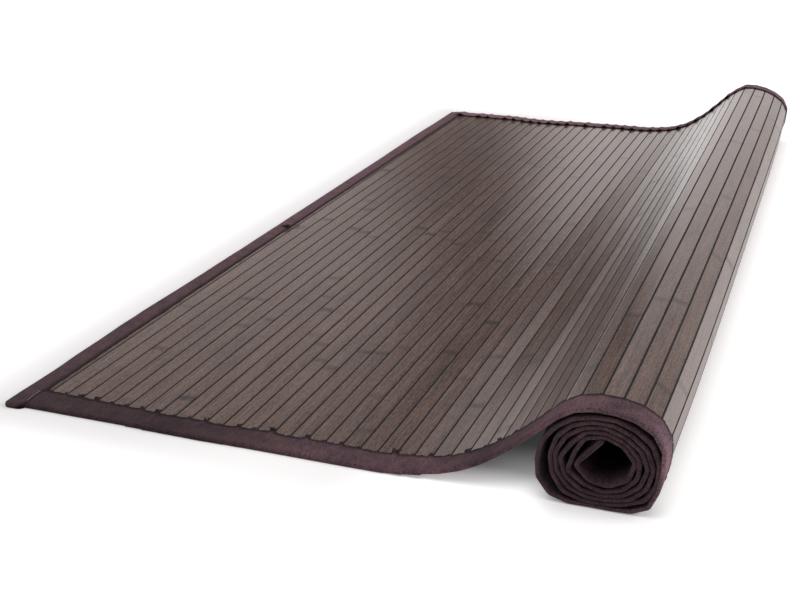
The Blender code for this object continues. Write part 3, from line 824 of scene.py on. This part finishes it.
def seam_path(y_from, y_to, shift, height):
    ys = np.linspace(y_from, y_to, 24)
    at = (ys - TAPE_LONG) / PITCH
    xi = np.interp(at, *zip(*FLAT_INNER)) * PITCH + shift
    return world(xi, ys, np.full(len(ys), MID_HEIGHT + height)), np.tile([0, 0, 1.0], (len(ys), 1))


line, n = seam_path(0.003, TAPE_LONG - 0.002, -0.0022, 0.00335)
stitch_pieces["corner_near"] = dashes("stitches_corner_near", line, n, 0.0044, 0.0030, 0.00030, light_thread)
line, n = seam_path(RUG_WIDTH - TAPE_LONG + 0.002, RUG_WIDTH - 0.003, -0.0022, 0.00335)
stitch_pieces["corner_far"] = dashes("stitches_corner_far", line, n, 0.0044, 0.0030, 0.00030, light_thread)


def cord(name, path, normals, radius, jitter, material, seed):
    """The overcast raw edge of the tape: a rough dark cord."""
    local = np.random.default_rng(seed)
    path, normals = np.asarray(path, float), np.asarray(normals, float)
    n = len(path)
    path = path + normals * local.uniform(-jitter, jitter, (n, 1)) * 0.5
    along = np.gradient(path, axis=0)
    along /= np.linalg.norm(along, axis=1, keepdims=True) + 1e-12
    side = np.cross(along, normals)
    side /= np.linalg.norm(side, axis=1, keepdims=True) + 1e-12
    up = np.cross(side, along)
    path = path + side * local.uniform(-jitter, jitter, (n, 1))
    r = radius * local.uniform(0.7, 1.3, n)
    around = 6
    verts = np.stack([path + (side * math.cos(2 * math.pi * q / around) + up * math.sin(2 * math.pi * q / around)) * r[:, None]
                      for q in range(around)], 1).reshape(-1, 3)
    faces = [list(f) for f in grid_faces(n, around, 0, close_cols=True)]
    faces.append([q for q in reversed(range(around))])
    faces.append([(n - 1) * around + q for q in range(around)])
    return new_mesh(name, verts, faces, material=material)


def tufts(name, spots, material, seed):
    """Short thread ends standing off the inner edge; spots are (place, way in, up, size in mm)."""
    local = np.random.default_rng(seed)
    verts, faces = [], []
    around, steps = 5, 5
    for place, way, up, size in spots:
        place, way, up = (np.asarray(v, float) for v in (place, way, up))
        side = np.cross(way, up)
        for _ in range(int(3 + size)):
            start = place + side * local.uniform(-0.7, 0.7) * size / 1000
            swing = local.uniform(-0.9, 0.9)
            reach = size / 1000 * local.uniform(0.6, 1.1)
            rise = local.uniform(0.1, 0.5) * size / 1000
            r0 = 0.00038 + 0.00010 * size
            base = len(verts)
            for k in range(steps):
                q = k / (steps - 1)
                p = start + way * reach * q + side * swing * reach * q * q + up * (rise * math.sin(math.pi * q * 0.8) + 0.0002)
                r = r0 * (1 - 0.45 * q)
                for a in range(around):
                    w = 2 * math.pi * a / around
                    verts.append(p + (side * math.cos(w) + up * math.sin(w)) * r)
            for k in range(steps - 1):
                for a in range(around):
                    c, d = base + k * around + a, base + k * around + (a + 1) % around
                    faces.append((c, d, d + around, c + around))
            faces.append(tuple(base + a for a in reversed(range(around))))
            faces.append(tuple(base + (steps - 1) * around + a for a in range(around)))
    return new_mesh(name, verts, faces, material=material)


def tube(name, points, radius, material, steps=8):
    """A thread along a smooth path."""
    curve = bpy.data.curves.new(name, "CURVE")
    curve.dimensions = "3D"
    spline = curve.splines.new("POLY")
    spline.points.add(len(points) - 1)
    for point, p in zip(spline.points, points):
        point.co = (*p, 1.0)
    curve.bevel_depth = radius
    curve.bevel_resolution = 2
    curve.use_fill_caps = True
    piece = bpy.data.objects.new(name, curve)
    bpy.context.scene.collection.objects.link(piece)
    curve.materials.append(material)
    return piece


def knot():
    """Knotted thread ends standing on the inner edge of the flat end's tape."""
    cx, cy = -0.60 * PITCH, TAPE_LONG + 33.5 * PITCH
    pts = []
    for k in range(90):
        a = k / 90 * 2 * math.pi * 3
        r = 0.0026 + 0.0010 * math.sin(a * 1.5)
        pts.append(world(cx + 1.35 * r * math.cos(a) * math.cos(0.4) , cy + r * 1.3 * math.sin(a),
                         MID_HEIGHT + 0.0036 + 0.0013 * math.sin(a * 1.33 + 0.6)))
    tail = [world(cx + 0.0040 + 0.0100 * t, cy + 0.004 + 0.0100 * t, MID_HEIGHT + 0.0028 - 0.0012 * t + 0.0012 * math.sin(3 * t))
            for t in np.linspace(0, 1, 14)]
    tail2 = [world(cx - 0.0035 - 0.0065 * t, cy + 0.001 - 0.002 * t, MID_HEIGHT + 0.0031 + 0.0006 * math.sin(5 * t))
             for t in np.linspace(0, 1, 12)]
    a = tube("knot_loops", pts, 0.00095, dark_thread)
    b = tube("knot_tail", tail, 0.00055, dark_thread)
    c = tube("knot_tail_short", tail2, 0.00065, dark_thread)
    return [a, b, c]


knots = knot()

# rough inner edges of the tapes
NEAR_TUFTS = (1.6, 1.8, 3.6, 3.8, 1.8, 2.6, 2.6, 3.2, 1.8, 1.6, 3.0, 1.6, 2.8, 2.0, 4.2, 1.6, 3.2, 2.0, 2.6, 1.6, 1.6, 4.2,
              2.0, 2.8, 1.6, 3.0, 1.8, 2.6, 2.0, 1.4, 1.0, 1.0, 1.2, 1.0, 1.0, 0.8, 0.8)
marks = stations()
for name, piece, sizes, inward in (("near", tape_near, NEAR_TUFTS, 1.0), ("far", tape_far, None, -1.0)):
    line, n = tape_line(piece, count, len(TAPE_PROFILE), 2 if inward > 0 else 1)
    top, n_top = tape_line(piece, count, len(TAPE_PROFILE), 4)
    n_top = n_top * np.sign(n_top[5, 2])
    if inward > 0:
        line = line + n_top * 0.0003
    stitch_pieces[f"cord_{name}"] = cord(f"edge_cord_{name}", line, n_top, 0.00088, 0.00050, dark_thread, 31 if inward > 0 else 37)
    spots = []
    local = np.random.default_rng(3 if inward > 0 else 4)
    for row, (i, t, place) in enumerate(marks):
        if t != 0.0 or not 0 <= place < 37:
            continue
        size = sizes[int(place)] if sizes else local.uniform(1.2, 2.2)
        spots.append((line[row], (0.0, inward, 0.0), n_top[row], 1.25 * size))
        if local.uniform() < 0.6 and place < 30:
            spots.append((line[row + 5], (0.0, inward, 0.0), n_top[row + 5], local.uniform(0.9, 1.8)))
    stitch_pieces[f"tufts_{name}"] = tufts(f"edge_tufts_{name}", spots, dark_thread, 41 if inward > 0 else 43)
end_cols = len(END_PROFILE)
line, n = tape_line(tape_flat, len(tape_flat.data.vertices) // end_cols, end_cols, 1)
up = np.tile([0.0, 0.0, 1.0], (len(line), 1))
stitch_pieces["cord_flat"] = cord("edge_cord_flat_end", line[8:-8], up[8:-8], 0.00095, 0.00045, dark_thread, 47)

# ------------------------------------------------------------------ frame
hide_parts("slat_mat")
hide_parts("binding_near")
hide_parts("binding_far")
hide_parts("binding_flat_end")
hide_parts("binding_inner_end")
for piece in [slats, tape_near, tape_far, tape_flat, tape_inner, *stitch_pieces.values(), *knots]:
    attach(piece, "root")

# ------------------------------------------------------------------ studio
def floor_material():
    """A pale floor carrying painted light: painted shadow darkens its colour next to the rug, and its glow fades near
    the rug and is raised below the front of the lifted part and right of the roll.
    """
    m = Maker("studio_floor")
    coord = m.nodes.new("ShaderNodeTexCoord").outputs["Object"]
    x, y = m.split(coord)
    soft = m.noise(coord, 3.0, 2.0)
    tint = m.mix(soft, (0.92, 0.92, 0.925, 1.0), (0.94, 0.94, 0.945, 1.0))
    out_x = m.math("MAXIMUM", m.math("SUBTRACT", -0.350, x), m.math("SUBTRACT", x, 0.11))
    out_y = m.math("SUBTRACT", m.math("ABSOLUTE", y), 0.775)
    out_x = m.math("MAXIMUM", out_x, 0.0)
    out_y = m.math("MAXIMUM", out_y, 0.0)
    away = m.math("SQRT", m.math("ADD", m.math("MULTIPLY", out_x, out_x), m.math("MULTIPLY", out_y, out_y)))
    # painted shadow: the floor's colour is darkened next to the flat part of the rug
    shade = m.math("MULTIPLY", m.smooth(away, 0.0, 0.055, 0.13, 0.0), m.smooth(x, -0.22, -0.02, 1.0, 0.0))
    front = m.math("SUBTRACT", m.math("ABSOLUTE", m.math("SUBTRACT", x, 0.285)), 0.040)
    front = m.math("MAXIMUM", front, 0.0)
    ahead = m.math("ADD", y, 0.768)
    near_roll = m.math("SQRT", m.math("ADD", m.math("MULTIPLY", front, front), m.math("MULTIPLY", ahead, ahead)))
    # painted shadow: the floor's colour is also darkened just in front of the roll
    shade = m.math("MAXIMUM", shade, m.smooth(near_roll, 0.0, 0.036, 0.10, 0.0))
    # painted shade: the floor's colour is darkened in the narrow space between the lifted part and the roll
    pinch_shade = m.math("MULTIPLY", m.smooth(y, -0.735, -0.655, 0.0, 1.0), m.smooth(x, 0.10, 0.16, 0.0, 1.0))
    pinch_shade = m.math("MULTIPLY", pinch_shade, m.math("MULTIPLY", m.smooth(x, 0.25, 0.30, 1.0, 0.0), m.smooth(y, 0.45, 0.70, 1.0, 0.0)))
    shade = m.math("MAXIMUM", shade, m.math("MULTIPLY", pinch_shade, 0.45))
    m.put(m.shader.inputs["Base Color"], m.scale(tint, m.math("SUBTRACT", 1.0, shade)))
    m.put(m.shader.inputs["Emission Color"], tint)
    # painted light and shadow: the floor glows, dimmed near the rug so the rug seems to shade it, and brighter right of
    # the roll
    painted_glow = m.math("ADD", m.smooth(away, 0.015, 0.11, 0.0, 0.26), m.smooth(x, 0.30, 0.36, 0.0, 0.07))
    # painted light: extra glow on the floor below the front of the lifted part
    under = m.math("MULTIPLY", m.smooth(x, 0.03, 0.15, 0.0, 0.45), m.smooth(x, 0.21, 0.26, 1.0, 0.0))
    painted_glow = m.math("ADD", painted_glow, m.math("MULTIPLY", under, m.smooth(y, -0.762, -0.712, 1.0, 0.0)))
    # painted shade: the glow is dimmed between the lifted part and the roll
    painted_glow = m.math("MULTIPLY", painted_glow, m.math("SUBTRACT", 1.0, m.math("MULTIPLY", pinch_shade, 0.85)))
    # painted shadow: the glow is dimmed just in front of the roll
    m.put(m.shader.inputs["Emission Strength"], m.math("MULTIPLY", painted_glow, m.smooth(near_roll, 0.0, 0.045, 0.75, 1.0)))
    m.shader.inputs["Roughness"].default_value = 0.9
    m.shader.inputs["Specular IOR Level"].default_value = 0.0
    return m.material


floor = new_mesh("studio_floor", [(-15, -15, 0), (15, -15, 0), (15, 15, 0), (-15, 15, 0)], [(0, 1, 2, 3)],
                 material=floor_material(), smooth=False)


def soft_sun(name, towards, strength, angle):
    """A broad far light; towards points from the rug to the light."""
    lamp = bpy.data.lights.new(name, "SUN")
    lamp.energy = strength
    lamp.angle = math.radians(angle)
    thing = bpy.data.objects.new(name, lamp)
    bpy.context.scene.collection.objects.link(thing)
    thing.location = Vector(towards) * 3.0
    thing.rotation_euler = Vector(towards).to_track_quat("Z", "Y").to_euler()
    return thing


soft_sun("key_right", (0.90, 0.30, 0.33), 2.2, 58.0)
soft_sun("fill_above", (-0.12, -0.22, 0.97), 1.38, 50.0)

world_shader = bpy.data.worlds.new("studio")
bpy.context.scene.world = world_shader
world_shader.use_nodes = True
tree = world_shader.node_tree
background = tree.nodes["Background"]
coord = tree.nodes.new("ShaderNodeTexCoord")
split = tree.nodes.new("ShaderNodeSeparateXYZ")
tree.links.new(coord.outputs["Generated"], split.inputs[0])
turn = tree.nodes.new("ShaderNodeMath")
turn.operation = "ARCTAN2"
tree.links.new(split.outputs[0], turn.inputs[0])
tree.links.new(split.outputs[1], turn.inputs[1])
spread = tree.nodes.new("ShaderNodeMapRange")
spread.inputs[1].default_value, spread.inputs[2].default_value = -math.pi, math.pi
tree.links.new(turn.outputs[0], spread.inputs[0])


def ramp_of(stops, low, high, source):
    """A colour ramp with its stops given in real values between low and high."""
    ramp = tree.nodes.new("ShaderNodeValToRGB")
    tree.links.new(source, ramp.inputs[0])
    elements = ramp.color_ramp.elements
    while len(elements) > 1:
        elements.remove(elements[-1])
    for n, (value, level) in enumerate(stops):
        at = (value - low) / (high - low)
        element = elements[0] if n == 0 else elements.new(at)
        element.position = at
        element.color = (level, level, level, 1.0)
    return ramp.outputs[0]


WALLS = (
    # (degrees to the right of straight behind the rug, brightness low down, brightness higher up)
    (-180.0, 0.32, 0.32), (-60.0, 0.58, 0.58), (-30.0, 0.74, 0.66), (-24.0, 0.90, 0.70), (-22.5, 0.84, 0.75), (-21.5, 0.76, 0.68),
    (-20.5, 0.60, 0.58), (-19.5, 0.34, 0.45), (-18.5, 0.10, 0.30), (-17.6, 0.00, 0.24), (-16.8, 0.00, 0.18), (-15.8, 0.00, 0.10),
    (-15.2, 0.00, 0.09), (-14.7, 0.10, 0.14), (-13.9, 0.46, 0.26), (-13.1, 0.70, 0.42), (-12.2, 0.92, 0.70), (-11.5, 1.02, 0.82),
    (-9.5, 1.05, 0.86), (2.0, 1.00, 0.80), (10.0, 0.76, 0.62), (18.0, 0.52, 0.46), (40.0, 0.50, 0.42), (90.0, 0.44, 0.38), (180.0, 0.32, 0.32),
)
# the same just above the floor, where the dark stand between the walls is wider and further left
FOOT = (
    (-180.0, 0.32), (-60.0, 0.58), (-32.0, 0.72), (-28.5, 0.46), (-26.8, 0.16), (-25.2, 0.02), (-23.8, 0.00), (-20.3, 0.00),
    (-19.5, 0.28), (-18.5, 0.60), (-17.0, 0.86), (-15.6, 0.98), (-14.0, 1.03), (2.0, 1.00), (10.0, 0.76), (18.0, 0.52),
    (40.0, 0.50), (90.0, 0.44), (180.0, 0.32),
)
HEIGHTS = (
    # (sine of the elevation, share of the wall's brightness)
    (0.0, 1.05), (0.25, 1.05), (0.34, 0.88), (0.42, 0.66), (0.50, 0.45), (0.7, 0.35), (1.0, 0.35),
)
RISE = ((0.0, 0.0), (0.25, 0.0), (0.34, 1.0), (1.0, 1.0))
CEILING = ((0.0, 0.0), (0.50, 0.0), (0.72, 0.24), (1.0, 0.36))
walls = ramp_of([row[:2] for row in WALLS], -180.0, 180.0, spread.outputs[0])
upper = ramp_of([(row[0], row[2]) for row in WALLS], -180.0, 180.0, spread.outputs[0])
heights = ramp_of(HEIGHTS, 0.0, 1.0, split.outputs[2])
rise = ramp_of(RISE, 0.0, 1.0, split.outputs[2])
ceiling = ramp_of(CEILING, 0.0, 1.0, split.outputs[2])
foot = ramp_of(FOOT, -180.0, 180.0, spread.outputs[0])
lower = tree.nodes.new("ShaderNodeMix")
tree.links.new(ramp_of(((0.0, 0.0), (0.140, 0.0), (0.190, 1.0), (1.0, 1.0)), 0.0, 1.0, split.outputs[2]), lower.inputs[0])
# the stand's middle, between its foot and the height where the wall starts
stand = ramp_of(((-180.0, 0.0), (-28.5, 0.0), (-25.5, 0.85), (-18.4, 0.85), (-17.4, 0.0), (180.0, 0.0)), -180.0, 180.0, spread.outputs[0])
level = ramp_of(((0.0, 1.0), (0.222, 1.0), (0.252, 0.0), (1.0, 0.0)), 0.0, 1.0, split.outputs[2])
hidden = tree.nodes.new("ShaderNodeMath")
hidden.operation = "MULTIPLY"
tree.links.new(stand, hidden.inputs[0])
tree.links.new(level, hidden.inputs[1])
left_over = tree.nodes.new("ShaderNodeMath")
left_over.operation = "SUBTRACT"
left_over.inputs[0].default_value = 1.0
tree.links.new(hidden.outputs[0], left_over.inputs[1])
middle = tree.nodes.new("ShaderNodeMath")
middle.operation = "MULTIPLY"
tree.links.new(walls, middle.inputs[0])
tree.links.new(left_over.outputs[0], middle.inputs[1])
tree.links.new(foot, lower.inputs[2])
tree.links.new(middle.outputs[0], lower.inputs[3])
blend = tree.nodes.new("ShaderNodeMix")
tree.links.new(rise, blend.inputs[0])
tree.links.new(lower.outputs[0], blend.inputs[2])
tree.links.new(upper, blend.inputs[3])
product = tree.nodes.new("ShaderNodeMath")
product.operation = "MULTIPLY_ADD"
tree.links.new(blend.outputs[0], product.inputs[0])
tree.links.new(heights, product.inputs[1])
tree.links.new(ceiling, product.inputs[2])
warm = tree.nodes.new("ShaderNodeVectorMath")
warm.operation = "SCALE"
warm.inputs[0].default_value = (1.05, 0.99, 0.975)
tree.links.new(product.outputs[0], warm.inputs["Scale"])
tree.links.new(warm.outputs[0], background.inputs["Color"])
background.inputs["Strength"].default_value = 1.0

# ------------------------------------------------------------------ camera
YAW, PITCH_DOWN, ROLL = 19.843, 20.660, 0.385
camera_data = bpy.data.cameras.new("camera")
camera_data.sensor_width = 36.0
camera_data.lens = 57.17
camera_data.clip_start, camera_data.clip_end = 0.05, 60.0
camera = bpy.data.objects.new("camera", camera_data)
bpy.context.scene.collection.objects.link(camera)
camera.matrix_world = (Matrix.Translation((0.45842, -1.76818, 0.57812))
                       @ Matrix.Rotation(math.radians(YAW), 4, "Z")
                       @ Matrix.Rotation(math.radians(90.0 - PITCH_DOWN), 4, "X")
                       @ Matrix.Rotation(math.radians(ROLL), 4, "Z"))
bpy.context.scene.camera = camera
bpy.context.scene.view_settings.view_transform = "Standard"
bpy.context.scene.view_settings.look = "None"
bpy.context.scene.view_settings.exposure = 0.0
bpy.context.scene.view_settings.gamma = 1.0
